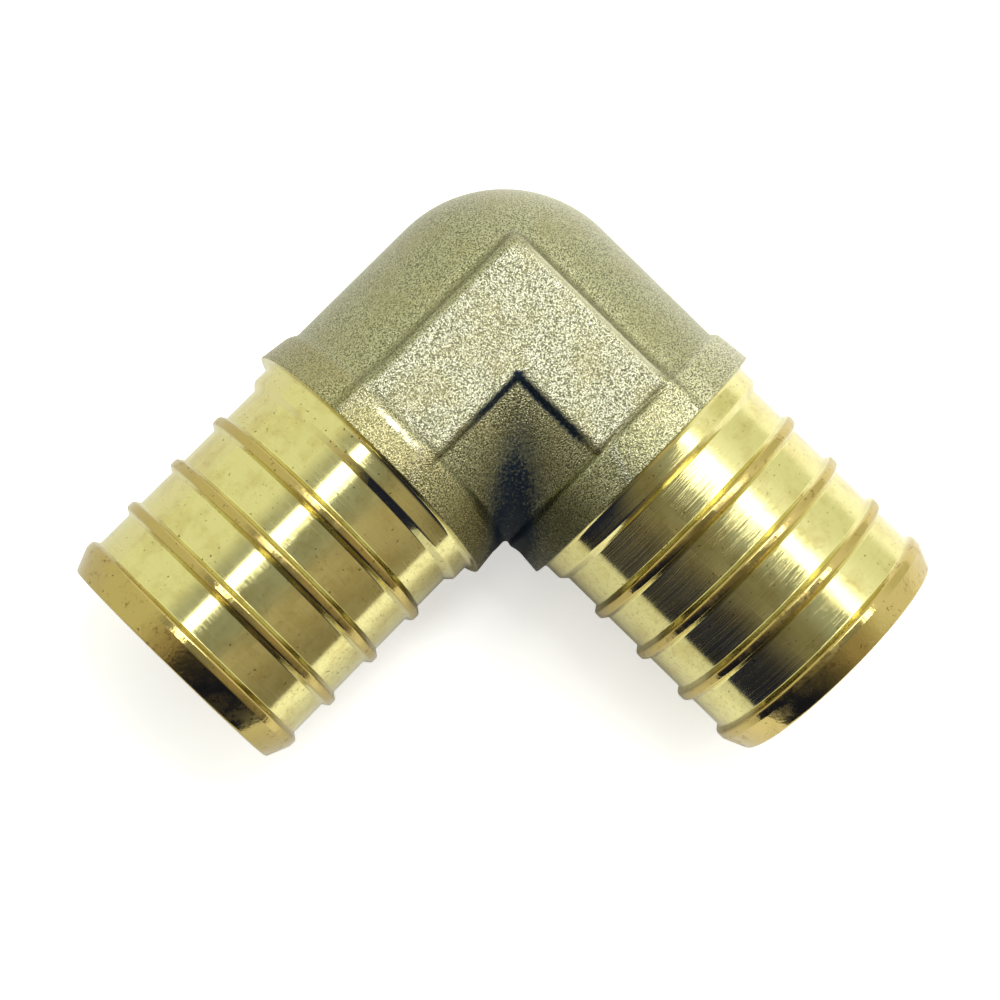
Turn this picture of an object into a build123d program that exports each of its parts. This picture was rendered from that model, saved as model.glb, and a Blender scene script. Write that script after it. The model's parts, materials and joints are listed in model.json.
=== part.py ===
from build123d import *
import os
from math import radians, sqrt, tan

# A one-piece elbow for 1 inch PEX pipe, in millimetres: a forged brass body with two equal legs
# at a right angle, turned to ribbed spigots at the ends and drilled from both sides.
# The two bore axes cross at the origin. One leg runs along +X and the other along +Y. The forging
# parts in the plane Z = 0, and its flat pads face +Z and -Z.

# Turned spigots
RIB_RADIUS = 11.0             # crests of the ribs, which the pipe slides over
RIB_RISE = 0.53               # crests above the grooves between them
RIB_TOP = 0.5                 # length of a crest, before its corners are rounded
RIB_FLANK = 0.43              # length of each sloping side of a rib
RIB_ROUND = 0.22
RIB_COUNT = 3                 # ribs between the plain band and the end rib
RIB_PITCH = 4.64
BAND_WIDTH = 1.65             # plain band against the stop face, as high as the ribs
BAND_ROOT_ROUND = 0.4
FIRST_GAP = 4.28              # end of the plain band to the middle of the first rib
END_GAP = 4.37                # middle of the last rib to the middle of the end rib
NOSE_LENGTH = 2.17            # middle of the end rib to the open end
NOSE_DROP = 0.78              # fall of the nose taper
NOSE_ROUND = 0.3

# Drilled bores
SPIGOT_WALL = 1.57            # bore to groove
DRILL_POINT_ANGLE = 118.0     # degrees
MOUTH_CHAMFER = 0.3

# Forged body
BODY_RISE = 0.2               # round tubes and outer bend above the rib crests
COLLAR_RISE = 0.95            # stop collar above the rib crests, at its machined face
COLLAR_FLARE = 0.28           # the collar's back is this much smaller in radius
COLLAR_WIDTH = 3.4
COLLAR_BACK_ROUND = 0.6
COLLAR_ROOT_ROUND = 0.25
COLLAR_EDGE_ROUND = 0.08
THROAT_GAP = 0.75             # inside line of one leg to the back of the other leg's collar
WEB_ROUND = 1.5               # hollow round of the web that fills the gap

# L-shaped pads on the front and the back
PAD_WIDTH = 7.6
PAD_RISE = 0.1                # flat of the pad above the crown of the tubes
PAD_DRAFT = 10.0              # degrees
PAD_EDGE_ROUND = 0.35
PAD_CORNER_ROUND = 0.9        # outer corner of the L, seen from above
PAD_INNER_ROUND = 0.25        # inner corner of the L, at the foot of the walls
PAD_SINK = 0.5                # the walls go this deep into the outer bend

# Radii and places that follow from the sizes
GROOVE_RADIUS = RIB_RADIUS - RIB_RISE
NOSE_RADIUS = RIB_RADIUS - NOSE_DROP
BORE_RADIUS = GROOVE_RADIUS - SPIGOT_WALL
BODY_RADIUS = RIB_RADIUS + BODY_RISE
COLLAR_RADIUS = RIB_RADIUS + COLLAR_RISE
COLLAR_BACK_RADIUS = COLLAR_RADIUS - COLLAR_FLARE
COLLAR_STEP = COLLAR_BACK_RADIUS - BODY_RADIUS
COLLAR_BACK = BODY_RADIUS + THROAT_GAP
STOP_FACE = COLLAR_BACK + COLLAR_WIDTH
BAND_END = STOP_FACE + BAND_WIDTH
FIRST_RIB = BAND_END + FIRST_GAP
END_RIB = FIRST_RIB + (RIB_COUNT - 1) * RIB_PITCH + END_GAP
OPEN_END = END_RIB + NOSE_LENGTH
PAD_HEIGHT = BODY_RADIUS + PAD_RISE
PAD_DEPTH = PAD_HEIGHT - sqrt(BODY_RADIUS**2 - PAD_WIDTH**2 / 2) + PAD_SINK
MITRE = Plane(origin=(0, 0, 0), x_dir=(0, 0, 1), z_dir=(1, -1, 0))


def rounded_face(corners):
    """Closed flat face from a list of corners, each given as a point and the rounding there."""
    points, rounds = zip(*corners)
    return make_face(FilletPolyline(*points, radius=rounds, close=True))


def forged_leg():
    """Tube and stop collar of one leg, turned about X, from the crossing of the axes to the stop face."""
    back_round = min(COLLAR_BACK_ROUND, COLLAR_STEP)
    root_round = min(COLLAR_ROOT_ROUND, COLLAR_STEP / 2)
    section = [
        ((0, 0), 0),
        ((0, BODY_RADIUS), 0),
        ((COLLAR_BACK, BODY_RADIUS), root_round),
        ((COLLAR_BACK + COLLAR_STEP, COLLAR_BACK_RADIUS), back_round),
        ((STOP_FACE, COLLAR_RADIUS), COLLAR_EDGE_ROUND),
        ((STOP_FACE, 0), 0),
    ]
    return revolve(rounded_face(section), Axis.X)


def rib_section(middle):
    """Corners of one rib, up its inner flank, over its crest and down its outer flank."""
    half_top = RIB_TOP / 2
    half_base = half_top + RIB_FLANK
    return [
        ((middle - half_base, GROOVE_RADIUS), 0),
        ((middle - half_top, RIB_RADIUS), RIB_ROUND),
        ((middle + half_top, RIB_RADIUS), RIB_ROUND),
        ((middle + half_base, GROOVE_RADIUS), 0),
    ]


def turned_spigot():
    """Ribbed spigot of one leg, turned about X, from inside the collar to the open end."""
    section = [
        ((COLLAR_BACK, 0), 0),
        ((COLLAR_BACK, BORE_RADIUS), 0),
        ((STOP_FACE, BORE_RADIUS), 0),
        ((STOP_FACE, COLLAR_BACK_RADIUS), 0),
        ((STOP_FACE, RIB_RADIUS), min(BAND_ROOT_ROUND, BAND_WIDTH / 2)),
        ((BAND_END, RIB_RADIUS), RIB_ROUND),
        ((BAND_END + RIB_RISE, GROOVE_RADIUS), 0),
    ]
    for number in range(RIB_COUNT):
        section += rib_section(FIRST_RIB + number * RIB_PITCH)
    section += rib_section(END_RIB)[:3]
    section += [
        ((OPEN_END, NOSE_RADIUS), NOSE_ROUND),
        ((OPEN_END, 0), 0),
    ]
    return revolve(rounded_face(section), Axis.X)


def pad_plate():
    """L-shaped pad of the front, from its flat down into the body, with drafted walls and a rounded rim."""
    half_width = PAD_WIDTH / 2
    arm_end = COLLAR_BACK + COLLAR_WIDTH / 2
    draft_spread = PAD_DEPTH * tan(radians(PAD_DRAFT))
    outline = [
        ((-half_width, -half_width), PAD_CORNER_ROUND),
        ((arm_end, -half_width), 0),
        ((arm_end, half_width), 0),
        ((half_width, half_width), PAD_INNER_ROUND + draft_spread),
        ((half_width, arm_end), 0),
        ((-half_width, arm_end), 0),
    ]
    flat_plane = Plane.XY.offset(PAD_HEIGHT)
    pad = extrude(flat_plane * rounded_face(outline), -PAD_DEPTH)
    walls = pad.faces().sort_by(Axis.Z)[1:-1]
    pad = draft(walls, flat_plane, PAD_DRAFT)
    flat = pad.faces().sort_by(Axis.Z)[-1]
    return fillet(flat.edges(), PAD_EDGE_ROUND)


def throat_web():
    """Fill in the inside corner between the two collars, with a hollow round face."""
    ball = Pos(BODY_RADIUS, BODY_RADIUS) * Sphere(WEB_ROUND + COLLAR_STEP)
    hollow_middle = COLLAR_BACK_RADIUS + WEB_ROUND
    hollow = Pos(hollow_middle, hollow_middle) * Cylinder(WEB_ROUND, 2 * BODY_RADIUS)
    return ball - hollow


def drilled_bore():
    """Bore of one leg: a drill point past the crossing, the full bore and a broken edge at the mouth."""
    point_length = BORE_RADIUS / tan(radians(DRILL_POINT_ANGLE / 2))
    section = [
        (-point_length, 0),
        (0, BORE_RADIUS),
        (OPEN_END - MOUTH_CHAMFER, BORE_RADIUS),
        (OPEN_END, BORE_RADIUS + MOUTH_CHAMFER),
        (OPEN_END, 0),
    ]
    return revolve(make_face(Polyline(*section, close=True)), Axis.X)


run_leg = forged_leg() + turned_spigot()
run_bore = drilled_bore()
pad = pad_plate()
elbow = Sphere(BODY_RADIUS) + run_leg + mirror(run_leg, about=MITRE) + throat_web()
elbow += pad + mirror(pad, about=Plane.XY)
elbow -= run_bore + mirror(run_bore, about=MITRE)

os.makedirs("parts", exist_ok=True)
export_step(elbow, "parts/elbow_body.step")
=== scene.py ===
import json
import math

import bmesh
import bpy
import numpy as np
from mathutils import Matrix, Vector


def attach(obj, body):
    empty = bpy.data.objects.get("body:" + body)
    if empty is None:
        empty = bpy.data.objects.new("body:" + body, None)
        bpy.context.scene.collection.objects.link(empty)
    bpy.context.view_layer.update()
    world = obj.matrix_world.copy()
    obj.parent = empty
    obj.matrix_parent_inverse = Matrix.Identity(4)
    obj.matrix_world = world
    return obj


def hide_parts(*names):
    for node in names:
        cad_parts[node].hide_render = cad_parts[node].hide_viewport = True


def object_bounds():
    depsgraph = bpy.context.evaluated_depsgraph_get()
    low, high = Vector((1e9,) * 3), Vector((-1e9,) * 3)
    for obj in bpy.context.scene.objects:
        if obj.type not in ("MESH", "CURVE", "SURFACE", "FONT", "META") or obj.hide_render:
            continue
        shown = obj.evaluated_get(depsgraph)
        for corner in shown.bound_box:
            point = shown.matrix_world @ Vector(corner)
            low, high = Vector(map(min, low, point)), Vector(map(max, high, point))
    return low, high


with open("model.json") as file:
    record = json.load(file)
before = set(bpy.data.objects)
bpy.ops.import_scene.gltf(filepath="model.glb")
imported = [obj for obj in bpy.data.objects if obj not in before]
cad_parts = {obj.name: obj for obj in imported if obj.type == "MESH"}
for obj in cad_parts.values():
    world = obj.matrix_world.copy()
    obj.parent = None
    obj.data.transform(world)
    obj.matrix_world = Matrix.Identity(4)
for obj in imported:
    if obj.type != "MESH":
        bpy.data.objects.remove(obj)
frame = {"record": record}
cad_low, cad_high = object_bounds()

# The forging: hot brass, pressed in two dies to an L of two round tubes, with a ball at the bend, a stop
# collar at the end of each tube and a flat L-shaped pad on the front and the back. Sizes are in millimetres
# from the crossing of the two bores. The run leg lies along X and the branch leg along Y.
MM = 0.001
mounts = {mount["name"]: mount for mount in frame["record"]["mounts"]}
rib_radius = mounts["run_spigot"]["dims"]["r_mm"]
stop_face = mounts["run_stop"]["pos_m"][0] / MM
collar_radius = cad_high[2] / MM

body_rise = 0.2
body_radius = rib_radius + body_rise
collar_width = 3.4
collar_flare = 0.28
collar_back = stop_face - collar_width
collar_back_radius = collar_radius - collar_flare
collar_step = collar_back_radius - body_radius
collar_foot_round = 0.15
run_collar_foot = collar_back + 0.15
run_shoulder = collar_back + 0.85
run_shoulder_drop = 0.05
run_shoulder_round = 1.6
branch_shoulder_round = 0.55

pad_half_width = 3.8
pad_rise = 0.1
pad_height = body_radius + pad_rise
pad_depth = 2.6
pad_inner_draft = math.tan(math.radians(10.0))
pad_outer_draft = math.tan(math.radians(28.0))
pad_corner_blend = 1.6
pad_inner_blend = 0.8
pad_edge_width = 0.8
pad_edge_fall = 0.1
pad_rim_blend = 0.6
run_arm_end = collar_back + 0.2
run_arm_fall = 0.22
branch_arm_end = collar_back - 0.1
branch_arm_fall = 0.6
pad_end_blend = 0.15
pad_foot_blend = 0.15
pad_flare_blend = 1.2
pad_flare_length = 2.0
pad_flare_width = 1.0

valley_blend = 1.4
throat_blend = 2.9
throat_height = 2.5
leg_blend_reach = 8.0


def rounded_line(corners, steps=5):
    """Points of an open line. Each corner is the place along the leg, the radius and the rounding there."""
    points = [Vector(corners[0][:2])]
    for before, corner, after in zip(corners, corners[1:], corners[2:]):
        here, rounding = Vector(corner[:2]), corner[2]
        if not rounding:
            points.append(here)
            continue
        to_before = (Vector(before[:2]) - here).normalized()
        to_after = (Vector(after[:2]) - here).normalized()
        half_angle = to_before.angle(to_after) / 2
        reach = rounding / math.tan(half_angle)
        centre = here + (to_before + to_after).normalized() * (rounding / math.sin(half_angle))
        first_spoke = (here + to_before * reach - centre).normalized()
        last_spoke = (here + to_after * reach - centre).normalized()
        for step in range(steps + 1):
            points.append(centre + first_spoke.slerp(last_spoke, step / steps) * rounding)
    points.append(Vector(corners[-1][:2]))
    return np.array(points)


def smooth_min(first, second, blend):
    """The smaller of two distances, with a round hollow of about the blend's size where they meet."""
    overlap = np.maximum(blend - np.abs(first - second), 0.0)
    return np.minimum(first, second) - overlap**2 / (4 * np.maximum(blend, 1e-6))


def smooth_max(first, second, blend):
    """The larger of two distances, with the edge where they meet rounded off."""
    return -smooth_min(-first, -second, blend)


run_collar = rounded_line([
    (0.0, body_radius, 0.0),
    (run_collar_foot, body_radius, collar_foot_round),
    (run_shoulder, collar_back_radius - run_shoulder_drop, run_shoulder_round),
    (stop_face, collar_radius, 0.0),
])
branch_collar = rounded_line([
    (0.0, body_radius, 0.0),
    (collar_back, body_radius, collar_foot_round),
    (collar_back + collar_step, collar_back_radius, branch_shoulder_round),
    (stop_face, collar_radius, 0.0),
])


def forged_leg(along, aside, up, collar):
    """Distance outside one forged tube with its round end at the crossing and its collar."""
    from_axis = np.hypot(aside, up)
    past_crossing = np.hypot(np.minimum(along, 0.0), from_axis)
    return past_crossing - np.interp(along, collar[:, 0], collar[:, 1])


def forged_body(x, y, z):
    """Distance outside the forging: the two legs with a soft valley between them, and the L-shaped pads."""
    leg_blend = valley_blend + (throat_blend - valley_blend) * np.exp(-((z / throat_height) ** 2))
    leg_blend = leg_blend * np.clip((x + y) / leg_blend_reach, 0.0, 1.0)
    legs = smooth_min(forged_leg(x, y, z, run_collar), forged_leg(y, x, z, branch_collar), leg_blend)

    to_outer_edge = np.minimum(x, y) + pad_half_width
    near_edge = np.clip(1.0 - to_outer_edge / pad_edge_width, 0.0, 2.0)
    below_flat = pad_height - np.abs(z) - pad_edge_fall * near_edge**2
    outer_edges = smooth_max(-pad_half_width - x, -pad_half_width - y, pad_corner_blend)
    inner_edges = smooth_min(x - pad_half_width, y - pad_half_width, pad_inner_blend)
    walls = np.maximum(outer_edges - below_flat * pad_outer_draft, inner_edges - below_flat * pad_inner_draft)
    ends = np.maximum((x - run_arm_end) * run_arm_fall, (y - branch_arm_end) * branch_arm_fall) - below_flat
    pads = smooth_max(smooth_max(-below_flat, walls, pad_rim_blend), ends, pad_end_blend)
    pads = np.maximum(pads, below_flat - pad_depth)

    by_collar = np.clip((np.maximum(x, y) - collar_back) / pad_flare_length + 1.0, 0.0, 1.0)
    outer_side = np.clip(pad_flare_width - to_outer_edge, 0.0, pad_flare_width) / pad_flare_width
    foot_blend = pad_foot_blend + (pad_flare_blend - pad_foot_blend) * by_collar * outer_side
    return smooth_min(legs, pads, foot_blend)


# The mesh of each leg is made of rings, whose points lie at these angles round the leg's axis.
# They are closest together at the rims of the pads.
angle_count = 248
rim_angle = math.atan2(pad_height, pad_half_width)
rim_closeness = 7.0
rim_spread = 0.045
sweep = np.linspace(0.0, 2 * math.pi, 4001)
closeness = np.ones_like(sweep)
for rim in (rim_angle, math.pi - rim_angle, math.pi + rim_angle, 2 * math.pi - rim_angle):
    closeness += rim_closeness * np.exp(-(((sweep - rim) / rim_spread) ** 2))
travelled = np.concatenate([[0.0], np.cumsum((closeness[1:] + closeness[:-1]) / 2)])
angles = np.interp(np.arange(angle_count) / angle_count * travelled[-1], travelled, sweep)
aside, up = np.cos(angles), np.sin(angles)
nearest_skin = 5.0
furthest_skin = 17.0


def outer_reach(place, furthest=furthest_skin):
    """How far out the forging's skin lies at each angle. place turns the reaches into the points x, y, z."""
    low = nearest_skin * np.ones(angle_count)
    high = furthest * np.ones(angle_count)
    for _ in range(40):
        middle = (low + high) / 2
        inside = forged_body(*place(middle)) < 0.0
        low, high = np.where(inside, middle, low), np.where(inside, high, middle)
    return (low + high) / 2


# The spigots and bores: each end of the forging is turned to a plain band, three ribs, an end rib and a
# tapered nose, and drilled until the two bores meet at their drill points. Spigot, mouth and the start of the
# bore are one line, turned round the leg's axis, which begins on the forged collar.
bore_radius = mounts["run_bore"]["dims"]["r_mm"]
open_end = cad_high[0] / MM
collar_join = stop_face - 2.0
collar_edge_round = 0.1
band_width = 1.65
band_root_round = 0.4
band_end = stop_face + band_width
rib_rise = 0.53
groove_radius = rib_radius - rib_rise
rib_top = 0.62
rib_flank = 0.37
rib_round = 0.28
groove_round = 0.12
rib_count = 3
rib_pitch = 4.64
first_gap = 4.28
first_rib = band_end + first_gap
end_gap = 4.37
end_rib = first_rib + (rib_count - 1) * rib_pitch + end_gap
nose_drop = 0.78
nose_radius = rib_radius - nose_drop
nose_round = 0.3
mouth_chamfer = 0.3
mouth_edge_round = 0.05
drill_point_angle = 118.0
drill_point = bore_radius / math.tan(math.radians(drill_point_angle / 2))


def rib_corners(middle):
    """Corners of one rib, up its inner flank, over its crest and down its outer flank."""
    half_top = rib_top / 2
    half_base = half_top + rib_flank
    return [
        (middle - half_base, groove_radius, groove_round),
        (middle - half_top, rib_radius, rib_round),
        (middle + half_top, rib_radius, rib_round),
        (middle + half_base, groove_radius, groove_round),
    ]


spigot_corners = [
    (collar_join, np.interp(collar_join, branch_collar[:, 0], branch_collar[:, 1]), 0.0),
    (stop_face, collar_radius, collar_edge_round),
    (stop_face, rib_radius, band_root_round),
    (band_end, rib_radius, rib_round),
    (band_end + rib_rise, groove_radius, groove_round),
]
for number in range(rib_count):
    spigot_corners += rib_corners(first_rib + number * rib_pitch)
spigot_corners += rib_corners(end_rib)[:3]
spigot_corners += [
    (open_end, nose_radius, nose_round),
    (open_end, bore_radius + mouth_chamfer, mouth_edge_round),
    (open_end - mouth_chamfer, bore_radius, 0.0),
]
spigot_line = rounded_line(spigot_corners)[1:]
face_allowance = 0.02
first_turned = int(np.argmax(spigot_line[:, 0] > stop_face - face_allowance))

# The whole elbow is one shell. Its two legs are joined at two seams in the plane between them: one round
# the outside of the bend, and one inside, where the bores meet.
seam_reach = outer_reach(lambda reach: (reach * aside, reach * aside, reach * up))
outer_seam = np.stack([seam_reach * aside, seam_reach * aside, seam_reach * up], axis=1)
cone_reach = bore_radius / (1.0 - np.minimum(aside, 0.0) * bore_radius / drill_point)
inner_seam = np.stack([cone_reach * aside, cone_reach * aside, cone_reach * up], axis=1)
tube_rings = 48
tube_end_gap = 0.3
least_tube = 0.1
collar_rings = 16
bore_rings = 4
past_inner_seam = 1.02
least_aside = 0.3


def leg_rings(along_y):
    """Rings of one leg between the seams, from the bend to the mouth and back along the bore."""
    def place(along, reach):
        sides = (reach * aside, along + 0.0 * aside, reach * up)
        return sides if along_y else (sides[1], sides[0], sides[2])

    seam = outer_seam[:, 0]
    tube_end = np.maximum(collar_back - tube_end_gap, seam + least_tube)
    tube_shares = np.linspace(0.0, 1.0, tube_rings + 1)[1:]
    collar_shares = np.linspace(0.0, 1.0, collar_rings + 1)[1:]
    stations = [seam + (tube_end - seam) * share for share in tube_shares]
    stations += [tube_end + (collar_join - tube_end) * share for share in collar_shares]
    rings = []
    for along in stations:
        to_seam_plane = np.where(aside > least_aside, along / np.maximum(aside, least_aside), furthest_skin)
        reach = outer_reach(lambda reach: place(along, reach), np.minimum(to_seam_plane, furthest_skin))
        rings.append(place(along, reach))
    forged_count = len(rings)
    rings += [place(along, radius) for along, radius in spigot_line]
    bore_end = np.maximum(inner_seam[:, 0] * past_inner_seam, 0.0)
    for share in np.linspace(0.0, 1.0, bore_rings + 1)[1:]:
        along = (open_end - mouth_chamfer) * (1.0 - share) + bore_end * share
        rings.append(place(along, bore_radius))
    return [np.stack(ring, axis=1) for ring in rings], forged_count + first_turned


points = [outer_seam, inner_seam]
faces, turned = [], []
for along_y in (False, True):
    rings, turned_from = leg_rings(along_y)
    starts = [0] + [angle_count * (len(points) + number) for number in range(len(rings))] + [angle_count]
    points += rings
    for number, (start, following) in enumerate(zip(starts, starts[1:])):
        for corner in range(angle_count):
            turn = (corner + 1) % angle_count
            faces.append((start + corner, start + turn, following + turn, following + corner))
            turned.append(number > turned_from)

mesh = bpy.data.meshes.new("brass_elbow")
mesh.from_pydata((np.concatenate(points) * MM).tolist(), [], faces)
mesh.polygons.foreach_set("material_index", np.array(turned, dtype=np.int32))
mesh.polygons.foreach_set("use_smooth", np.ones(len(faces), dtype=bool))
weld_distance = 1e-7
shell = bmesh.new()
shell.from_mesh(mesh)
bmesh.ops.remove_doubles(shell, verts=shell.verts, dist=weld_distance)
bmesh.ops.recalc_face_normals(shell, faces=shell.faces)
shell.to_mesh(mesh)
shell.free()

elbow = bpy.data.objects.new("brass_elbow", mesh)
bpy.context.scene.collection.objects.link(elbow)
even_shading = elbow.modifiers.new("even_shading", "WEIGHTED_NORMAL")
even_shading.weight = 50
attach(elbow, "root")
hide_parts("elbow_body")


def add_node(tree, kind, inputs=None, **settings):
    """Adds a shader node, with its settings and with its inputs set to values or linked to sockets."""
    made = tree.nodes.new("ShaderNode" + kind)
    for name, value in settings.items():
        setattr(made, name, value)
    for key, value in (inputs or {}).items():
        if isinstance(value, bpy.types.NodeSocket):
            tree.links.new(value, made.inputs[key])
        else:
            made.inputs[key].default_value = value
    return made


def reckon(tree, operation, first, second=0.0, third=0.0):
    """A number worked out from others by one Math node."""
    return add_node(tree, "Math", {0: first, 1: second, 2: third}, operation=operation).outputs[0]


def all_of(tree, *masks):
    """A mask of where all the given ones hold: their product."""
    together = masks[0]
    for mask in masks[1:]:
        together = reckon(tree, "MULTIPLY", together, mask)
    return together


def any_of(tree, *masks):
    """A mask of where any of the given ones holds: the highest of them."""
    highest = masks[0]
    for mask in masks[1:]:
        highest = reckon(tree, "MAXIMUM", highest, mask)
    return highest


def ramp(tree, value, start, end, low=0.0, high=1.0):
    """A value that goes smoothly from low to high while the given one goes from start to end."""
    return add_node(tree, "MapRange", {
        "Value": value, "From Min": start, "From Max": end, "To Min": low, "To Max": high,
    }, interpolation_type="SMOOTHSTEP").outputs["Result"]


def band(tree, value, start, full, last_full, end):
    """A mask that rises while the value goes from start to full, and falls again from last_full to end."""
    return all_of(tree, ramp(tree, value, start, full), ramp(tree, value, end, last_full))


def blend(tree, share, first, second):
    """A colour between two others."""
    mix = add_node(tree, "Mix", {"Factor": share}, data_type="RGBA")
    for socket, colour in ((mix.inputs[6], first), (mix.inputs[7], second)):
        if isinstance(colour, bpy.types.NodeSocket):
            tree.links.new(colour, socket)
        else:
            socket.default_value = (*colour, 1.0)
    return mix.outputs[2]


def grain(tree, place, scale, detail, roughness=0.5):
    """Noise over the surface. The scale is the number of its coarsest grains in a millimetre."""
    return add_node(tree, "TexNoise", {
        "Vector": place, "Scale": scale, "Detail": detail, "Roughness": roughness,
    }).outputs["Fac"]


def brass_finish(name):
    """A new material on the elbow. Gives its node tree, and the place on the elbow in millimetres."""
    material = bpy.data.materials.new(name)
    material.use_nodes = True
    mesh.materials.append(material)
    tree = material.node_tree
    tree.nodes.clear()
    in_metres = add_node(tree, "TexCoord").outputs["Object"]
    in_millimetres = add_node(tree, "VectorMath", {0: in_metres, "Scale": 1 / MM}, operation="SCALE")
    return tree, in_millimetres.outputs["Vector"]


# Tarnish on brass: soft brown clouds a few millimetres wide, and small dark specks.
# Both finishes of the elbow have it, so it is one node group.
tarnish = bpy.data.node_groups.new("tarnish", "ShaderNodeTree")
for name, way, kind in (
    ("Place", "INPUT", "NodeSocketVector"),
    ("Cloud Size", "INPUT", "NodeSocketFloat"),
    ("Speck Size", "INPUT", "NodeSocketFloat"),
    ("Clouds", "OUTPUT", "NodeSocketFloat"),
    ("Specks", "OUTPUT", "NodeSocketFloat"),
):
    tarnish.interface.new_socket(name, in_out=way, socket_type=kind)
given = tarnish.nodes.new("NodeGroupInput").outputs
cloud_scale = reckon(tarnish, "DIVIDE", 1.0, given["Cloud Size"])
speck_scale = reckon(tarnish, "DIVIDE", 1.0, given["Speck Size"])
cloud_grain = grain(tarnish, given["Place"], cloud_scale, 4.0, 0.62)
speck_grain = grain(tarnish, given["Place"], speck_scale, 1.0)
result = tarnish.nodes.new("NodeGroupOutput").inputs
tarnish.links.new(ramp(tarnish, cloud_grain, 0.42, 0.66), result["Clouds"])
tarnish.links.new(ramp(tarnish, speck_grain, 0.70, 0.78), result["Specks"])

# Blasted brass: the forged skin, dull khaki gold, evenly pitted by the shot. Painted shade makes the throat
# and the foot of the pads' inner walls black and dull, and darkens the creases, the inner sides of the legs
# and the inner end of the branch collar. A painted highlight makes the pads, their outer rim on the branch
# leg, the back of the run collar and the outer end of the branch collar paler.
khaki_pit = (0.14, 0.14, 0.063)
khaki_peak = (0.475, 0.47, 0.295)
pad_highlight_peak = (0.50, 0.50, 0.385)
run_collar_peak = (0.43, 0.37, 0.165)
collar_highlight_peak = (0.66, 0.64, 0.43)
cloud_brown = (0.37, 0.33, 0.165)
inner_shade = (0.11, 0.10, 0.035)
shaded_collar = (0.03, 0.035, 0.02)
crease_shade = (0.14, 0.13, 0.05)
painted_highlight = (0.78, 0.75, 0.56)
shade_black = (0.002, 0.011, 0.027)

tree, place = brass_finish("blasted_brass")
axes = add_node(tree, "SeparateXYZ", {"Vector": place}).outputs
along_run, along_branch = axes["X"], axes["Y"]
height = reckon(tree, "ABSOLUTE", axes["Z"])
inward = reckon(tree, "MINIMUM", along_run, along_branch)
from_seam = reckon(tree, "ABSOLUTE", reckon(tree, "SUBTRACT", along_run, along_branch))
from_run_axis = reckon(tree, "ABSOLUTE", along_branch)
grit = grain(tree, place, 8.0, 1.5, 0.6)
flakes = grain(tree, place, 4.5, 2.0, 0.65)
patches = grain(tree, place, 1.1, 2.0)
clouds = add_node(tree, "Group", {
    "Place": place, "Cloud Size": 4.0, "Speck Size": 0.3,
}, node_tree=tarnish).outputs["Clouds"]

# Painted shade in the throat and at the foot of the pads' inner walls: black and dull, broken up into flakes
in_throat = all_of(tree, ramp(tree, from_seam, 5.4, 0.6), ramp(tree, inward, 4.0, 9.0), 0.92)
deep_throat = all_of(tree, ramp(tree, from_seam, 3.8, 1.4), ramp(tree, inward, 7.8, 10.2))
wall = pad_half_width
run_wall = all_of(
    tree, band(tree, along_branch, wall - 0.35, wall - 0.05, wall + 0.1, wall + 0.45),
    ramp(tree, along_run, collar_back - 0.65, 7.0),
)
branch_wall = all_of(
    tree, band(tree, along_run, wall - 0.35, wall, wall + 0.15, wall + 0.7),
    ramp(tree, along_branch, collar_back + 0.05, 9.6),
)
wall_foot = all_of(
    tree, any_of(tree, run_wall, branch_wall), ramp(tree, inward, wall - 0.6, wall - 0.2),
    ramp(tree, height, 9.6, 10.3),
)
shade_as_scale = any_of(tree, in_throat, wall_foot, deep_throat)
shade_as_scale = reckon(tree, "MULTIPLY_ADD", reckon(tree, "SUBTRACT", 0.5, flakes), 1.5, shade_as_scale)
shade_as_scale = ramp(tree, shade_as_scale, 0.12, 1.0)

# Peaks and pits of the grit, with a painted highlight that makes them paler on the pads and on the outer end
# of the branch collar
on_pad = band(tree, height, pad_height - 0.12, pad_height - 0.04, pad_height + 0.05, pad_height + 0.15)
on_run_collar = ramp(tree, along_run, collar_back + 0.25, collar_back + 0.85, 0.0, 0.5)
on_branch_collar = ramp(tree, along_branch, collar_back - 0.05, collar_back + 0.45)
highlit_collar_end = all_of(tree, on_branch_collar, ramp(tree, along_run, 1.0, -6.0))
peaks = blend(tree, on_pad, khaki_peak, pad_highlight_peak)
peaks = blend(tree, on_run_collar, peaks, run_collar_peak)
peaks = blend(tree, highlit_collar_end, peaks, collar_highlight_peak)
skin = blend(tree, ramp(tree, grit, 0.38, 0.56), khaki_pit, peaks)

# Browner tarnish clouds, and painted shade: darker skin on the inner sides of the legs and on the inner end of
# the branch collar
skin = blend(tree, all_of(tree, clouds, 0.35), skin, cloud_brown)
inner_side = all_of(tree, ramp(tree, inward, 5.5, 11.0, 0.0, 0.9), ramp(tree, flakes, 0.40, 0.60, 1.0, 0.5))
skin = blend(tree, inner_side, skin, inner_shade)
shaded_end = all_of(tree, on_branch_collar, ramp(tree, along_run, 4.5, 9.0, 0.0, 0.6))
skin = blend(tree, shaded_end, skin, shaded_collar)

# Painted shade in the creases at the feet of the two collars and of the pads' outer walls
branch_crease = all_of(
    tree,
    band(tree, along_branch, collar_back - 0.35, collar_back - 0.05, collar_back + 0.1, collar_back + 0.4),
    ramp(tree, along_run, -4.0, -2.0, 0.0, 0.6),
)
run_crease = all_of(
    tree,
    band(tree, along_run, collar_back, collar_back + 0.25, collar_back + 0.45, collar_back + 0.7),
    ramp(tree, along_branch, -3.6, -2.2, 0.0, 0.4),
)
outer_foot = all_of(
    tree, band(tree, inward, -wall - 0.95, -wall - 0.55, -wall - 0.4, -wall - 0.05),
    ramp(tree, height, 9.6, 10.2), 0.45,
)
skin = blend(tree, any_of(tree, branch_crease, outer_foot, run_crease), skin, crease_shade)
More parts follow.
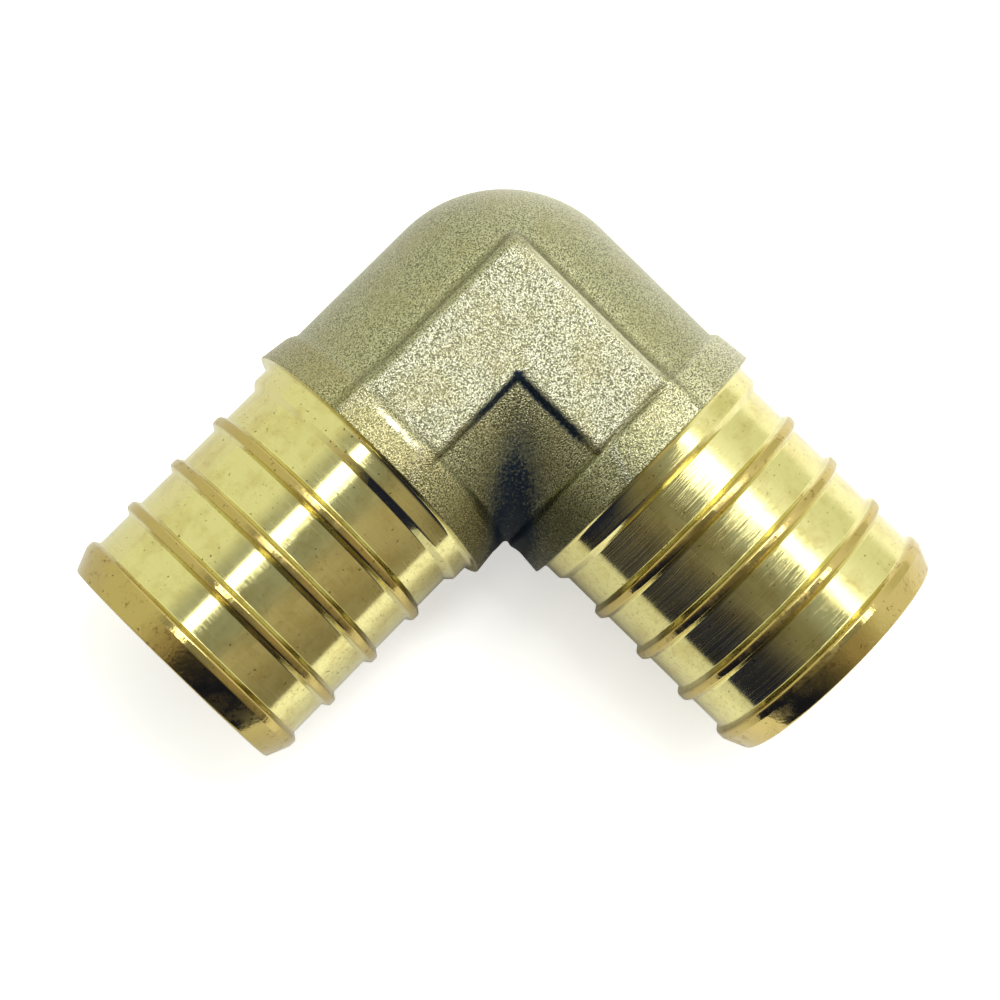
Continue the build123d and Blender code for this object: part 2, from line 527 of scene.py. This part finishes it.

# Painted highlights on the back of the run collar above the pads and on the pads' outer rim on the branch leg,
# where the pitting is also made shallower as if worn
collar_ridge = all_of(
    tree,
    band(tree, along_run, collar_back + 0.65, collar_back + 1.0, collar_back + 1.15, collar_back + 1.55),
    ramp(tree, from_run_axis, 3.6, 1.4), ramp(tree, height, 10.0, 11.0),
    ramp(tree, patches, 0.35, 0.6, 0.35, 1.0),
)
pad_rim = all_of(
    tree, band(tree, along_run, -wall - 0.3, -wall, -wall + 0.2, -wall + 0.55),
    ramp(tree, height, 10.7, 11.0), band(tree, along_branch, -3.5, -1.0, 10.5, 12.0),
)
wear_and_highlight = any_of(tree, collar_ridge, pad_rim)
skin = blend(tree, all_of(tree, wear_and_highlight, 0.6), skin, painted_highlight)
# Painted shade: the throat and the foot of the pads' inner walls are painted black
skin = blend(tree, shade_as_scale, skin, shade_black)

pitting = add_node(tree, "Bump", {
    "Height": grit, "Strength": ramp(tree, wear_and_highlight, 0.0, 1.0, 1.0, 0.45), "Distance": 0.08 * MM,
})
blasted_surface = add_node(tree, "BsdfPrincipled", {
    "Base Color": skin,
    "Metallic": ramp(tree, shade_as_scale, 0.0, 1.0, 1.0, 0.0),
    "Roughness": ramp(tree, shade_as_scale, 0.2, 1.0, 0.24, 0.55),
    "Specular IOR Level": 0.2,
    "Normal": pitting.outputs["Normal"],
})
add_node(tree, "OutputMaterial", {"Surface": blasted_surface.outputs["BSDF"]})

# Turned brass: bright lemon grooves with fine lines round the leg from the tool, and browner ribs and noses,
# which are touched most. Each line is a little smoother or rougher than the next. On the stop faces and the
# mouths the lines are circles.
lemon_clear = (0.71, 0.66, 0.30)
lemon_cloudy = (0.58, 0.49, 0.18)
stain_brown = (0.36, 0.25, 0.08)
pepper_brown = (0.42, 0.32, 0.13)
line_brown = (0.46, 0.34, 0.12)
rib_gold = (0.49, 0.385, 0.135)
rib_brown = (0.30, 0.21, 0.07)
speck_dark = (0.10, 0.06, 0.02)

tree, place = brass_finish("turned_brass")
axes = add_node(tree, "SeparateXYZ", {"Vector": place}).outputs
along = reckon(tree, "MAXIMUM", axes["X"], axes["Y"])
across = reckon(tree, "MINIMUM", axes["X"], axes["Y"])
height_squared = reckon(tree, "MULTIPLY", axes["Z"], axes["Z"])
from_axis = reckon(tree, "SQRT", reckon(tree, "MULTIPLY_ADD", across, across, height_squared))
marks = add_node(tree, "Group", {
    "Place": place, "Cloud Size": 2.6, "Speck Size": 0.28,
}, node_tree=tarnish).outputs
wander = grain(tree, place, 0.35, 1.0)
line_place = reckon(tree, "MULTIPLY_ADD", wander, 0.25, reckon(tree, "ADD", along, from_axis))
tool_lines = add_node(tree, "TexNoise", {
    "W": line_place, "Scale": 16.0, "Detail": 3.0, "Roughness": 0.7,
}, noise_dimensions="1D").outputs["Fac"]
stains = all_of(tree, ramp(tree, grain(tree, place, 1.6, 3.0, 0.7), 0.50, 0.72), marks["Clouds"])
pepper = all_of(tree, ramp(tree, grain(tree, place, 2.2, 5.0, 0.8), 0.50, 0.66), ramp(tree, across, 6.8, 8.2))
on_crest = all_of(
    tree, ramp(tree, from_axis, groove_radius + 0.28, groove_radius + 0.48),
    ramp(tree, along, band_end + 0.2, band_end + 0.8),
)
on_rib = any_of(tree, on_crest, ramp(tree, along, end_rib - 0.75, end_rib - 0.4))

lemon = blend(tree, all_of(tree, marks["Clouds"], 0.55), lemon_clear, lemon_cloudy)
lemon = blend(tree, all_of(tree, stains, 0.30), lemon, stain_brown)
lemon = blend(tree, all_of(tree, pepper, 0.5), lemon, pepper_brown)
lemon = blend(tree, ramp(tree, tool_lines, 0.55, 0.8, 0.0, 0.35), lemon, line_brown)
golden = blend(tree, ramp(tree, stains, 0.0, 0.8), rib_gold, rib_brown)
finish = blend(tree, on_rib, lemon, golden)
finish = blend(tree, all_of(tree, marks["Specks"], 0.85), finish, speck_dark)

line_roughness = ramp(tree, tool_lines, 0.50, 0.75, 0.10, 0.28)
rib_roughness = ramp(tree, marks["Clouds"], 0.0, 1.0, 0.12, 0.30)
roughness = add_node(tree, "Mix", {"Factor": on_rib, "A": line_roughness, "B": rib_roughness})
rib_pits = reckon(tree, "MULTIPLY", grain(tree, place, 3.5, 1.0), 2.0)
relief = add_node(tree, "Mix", {"Factor": on_rib, "A": tool_lines, "B": rib_pits})
tooling = add_node(tree, "Bump", {"Height": relief.outputs["Result"], "Strength": 0.5, "Distance": 0.01 * MM})
turned_surface = add_node(tree, "BsdfPrincipled", {
    "Base Color": finish,
    "Metallic": 1.0,
    "Roughness": roughness.outputs["Result"],
    "Normal": tooling.outputs["Normal"],
})
add_node(tree, "OutputMaterial", {"Surface": turned_surface.outputs["BSDF"]})

# The floor is a round sheet of white paper, which the elbow lies on. It is cut off in front of the two mouths,
# looks white and keeps the elbow's soft shadow. Only its outer part on the side of the branch leg, which the
# run leg mirrors, is lit up for the brass.
floor_reach = 0.13
floor_middle = 0.012
cut_place = 0.07
paper_white = 0.9
glow_to_eye = 0.55
glow_in_brass = 0.45
floor_mesh = bpy.data.meshes.new("paper_floor")
paper = bmesh.new()
bmesh.ops.create_circle(paper, cap_ends=True, segments=96, radius=floor_reach)
bmesh.ops.bisect_plane(
    paper, geom=paper.verts[:] + paper.edges[:] + paper.faces[:], clear_outer=True,
    plane_co=(cut_place, cut_place, 0.0), plane_no=(1.0, 1.0, 0.0),
)
paper.to_mesh(floor_mesh)
paper.free()
floor = bpy.data.objects.new("paper_floor", floor_mesh)
floor.location = (floor_middle, floor_middle, cad_low[2])
bpy.context.scene.collection.objects.link(floor)

white_paper = bpy.data.materials.new("white_paper")
white_paper.use_nodes = True
floor_mesh.materials.append(white_paper)
tree = white_paper.node_tree
tree.nodes.clear()
rays = add_node(tree, "LightPath").outputs
spot = add_node(tree, "TexCoord").outputs["Object"]
away = add_node(tree, "VectorMath", {0: spot}, operation="LENGTH").outputs["Value"]
spot_axes = add_node(tree, "SeparateXYZ", {"Vector": spot}).outputs
to_run_side = reckon(tree, "SUBTRACT", spot_axes["X"], spot_axes["Y"])
far_glow = all_of(
    tree, ramp(tree, away, 0.015, 0.05, 0.0, glow_in_brass), ramp(tree, to_run_side, -0.015, 0.02, 1.0, 0.0)
)
brass_glow = all_of(tree, rays["Is Glossy Ray"], far_glow)
glow = reckon(tree, "MULTIPLY_ADD", rays["Is Camera Ray"], glow_to_eye, brass_glow)
sheet = add_node(tree, "BsdfDiffuse", {"Color": (paper_white, paper_white, paper_white, 1.0)})
lit = add_node(tree, "Emission", {"Color": (1.0, 1.0, 1.0, 1.0), "Strength": glow})
both = add_node(tree, "AddShader", {0: sheet.outputs["BSDF"], 1: lit.outputs["Emission"]})
add_node(tree, "OutputMaterial", {"Surface": both.outputs["Shader"]})

# Three soft lamps hang over the two legs and the pad. Each is given by its direction from the elbow, its
# length and width in metres and its power in watts.
lamp_distance = 0.6
for name, direction, length, width, power in (
    ("lamp_over_run", (-0.036, -0.15, 0.985), 0.24, 0.105, 0.40),
    ("lamp_over_branch", (-0.505, 0.10, 0.86), 0.10, 0.24, 0.45),
    ("lamp_over_pad", (-0.30, -0.10, 0.95), 0.18, 0.16, 0.86),
):
    lamp = bpy.data.lights.new(name, "AREA")
    lamp.shape = "RECTANGLE"
    lamp.size = length
    lamp.size_y = width
    lamp.energy = power
    holder = bpy.data.objects.new(name, lamp)
    back = Vector(direction).normalized()
    side = Vector((0.0, 1.0, 0.0)).cross(back).normalized()
    turn_to_elbow = Matrix((side, back.cross(side), back)).transposed().to_4x4()
    holder.matrix_world = Matrix.Translation(back * lamp_distance) @ turn_to_elbow
    bpy.context.scene.collection.objects.link(holder)

# The room round the elbow is pale behind the bend, palest beside the lamp over the branch, grey overhead,
# and dim to dark on the side of the two mouths, where the camera stands. The camera sees plain white in its
# place.
warm_wall = (0.54, 0.46, 0.33)
pale_wall = (0.97, 0.99, 0.80)
palest_wall = (1.22, 1.23, 1.15)
dim_corner = (0.26, 0.23, 0.17)
grey_ceiling = (0.34, 0.38, 0.38)
dim_front = (0.24, 0.215, 0.155)
dark_front = (0.016, 0.020, 0.060)
room_world = bpy.data.worlds.new("studio")
bpy.context.scene.world = room_world
room_world.use_nodes = True
tree = room_world.node_tree
tree.nodes.clear()
facing = add_node(tree, "TexCoord").outputs["Generated"]
axes = add_node(tree, "SeparateXYZ", {"Vector": facing}).outputs
behind_bend = reckon(tree, "MINIMUM", axes["X"], axes["Y"])
to_mouths = reckon(tree, "ADD", axes["X"], axes["Y"])
by_camera = all_of(tree, ramp(tree, axes["X"], -0.05, 0.20), ramp(tree, axes["Y"], -0.15, 0.10))
to_run_mouth = reckon(tree, "MULTIPLY_ADD", axes["Y"], 0.45, axes["X"])
room = blend(tree, ramp(tree, behind_bend, -0.15, -0.60), warm_wall, pale_wall)
room = blend(tree, band(tree, axes["X"], -0.97, -0.75, -0.65, -0.35), room, palest_wall)
room = blend(tree, ramp(tree, to_mouths, 0.75, 1.05), room, dim_corner)
room = blend(tree, ramp(tree, axes["Z"], 0.80, 0.97, 0.0, 0.8), room, grey_ceiling)
room = blend(tree, by_camera, room, dim_front)
room = blend(tree, all_of(tree, by_camera, ramp(tree, to_run_mouth, 0.40, 0.95)), room, dark_front)
seen = add_node(tree, "LightPath").outputs["Is Camera Ray"]
sky = add_node(tree, "Background", {"Color": blend(tree, seen, room, (1.0, 1.0, 1.0)), "Strength": 1.0})
add_node(tree, "OutputWorld", {"Surface": sky.outputs["Background"]})

# The camera stands almost straight above the run spigot and looks down at the middle of the elbow, with the
# bend at the top of the picture.
eye = Vector((0.0327836, 0.0098685, 0.1652869))
target = Vector((0.009967, 0.009261, 0.0))
picture_up = Vector((-0.7073, -0.69978, 0.10021))
back = (eye - target).normalized()
right = picture_up.cross(back).normalized()
camera_data = bpy.data.cameras.new("camera")
camera_data.sensor_width = 36.0
camera_data.lens = 75.845
camera = bpy.data.objects.new("camera", camera_data)
camera.matrix_world = Matrix.Translation(eye) @ Matrix((right, back.cross(right), back)).transposed().to_4x4()
bpy.context.scene.collection.objects.link(camera)
bpy.context.scene.camera = camera
bpy.context.scene.view_settings.view_transform = "Standard"
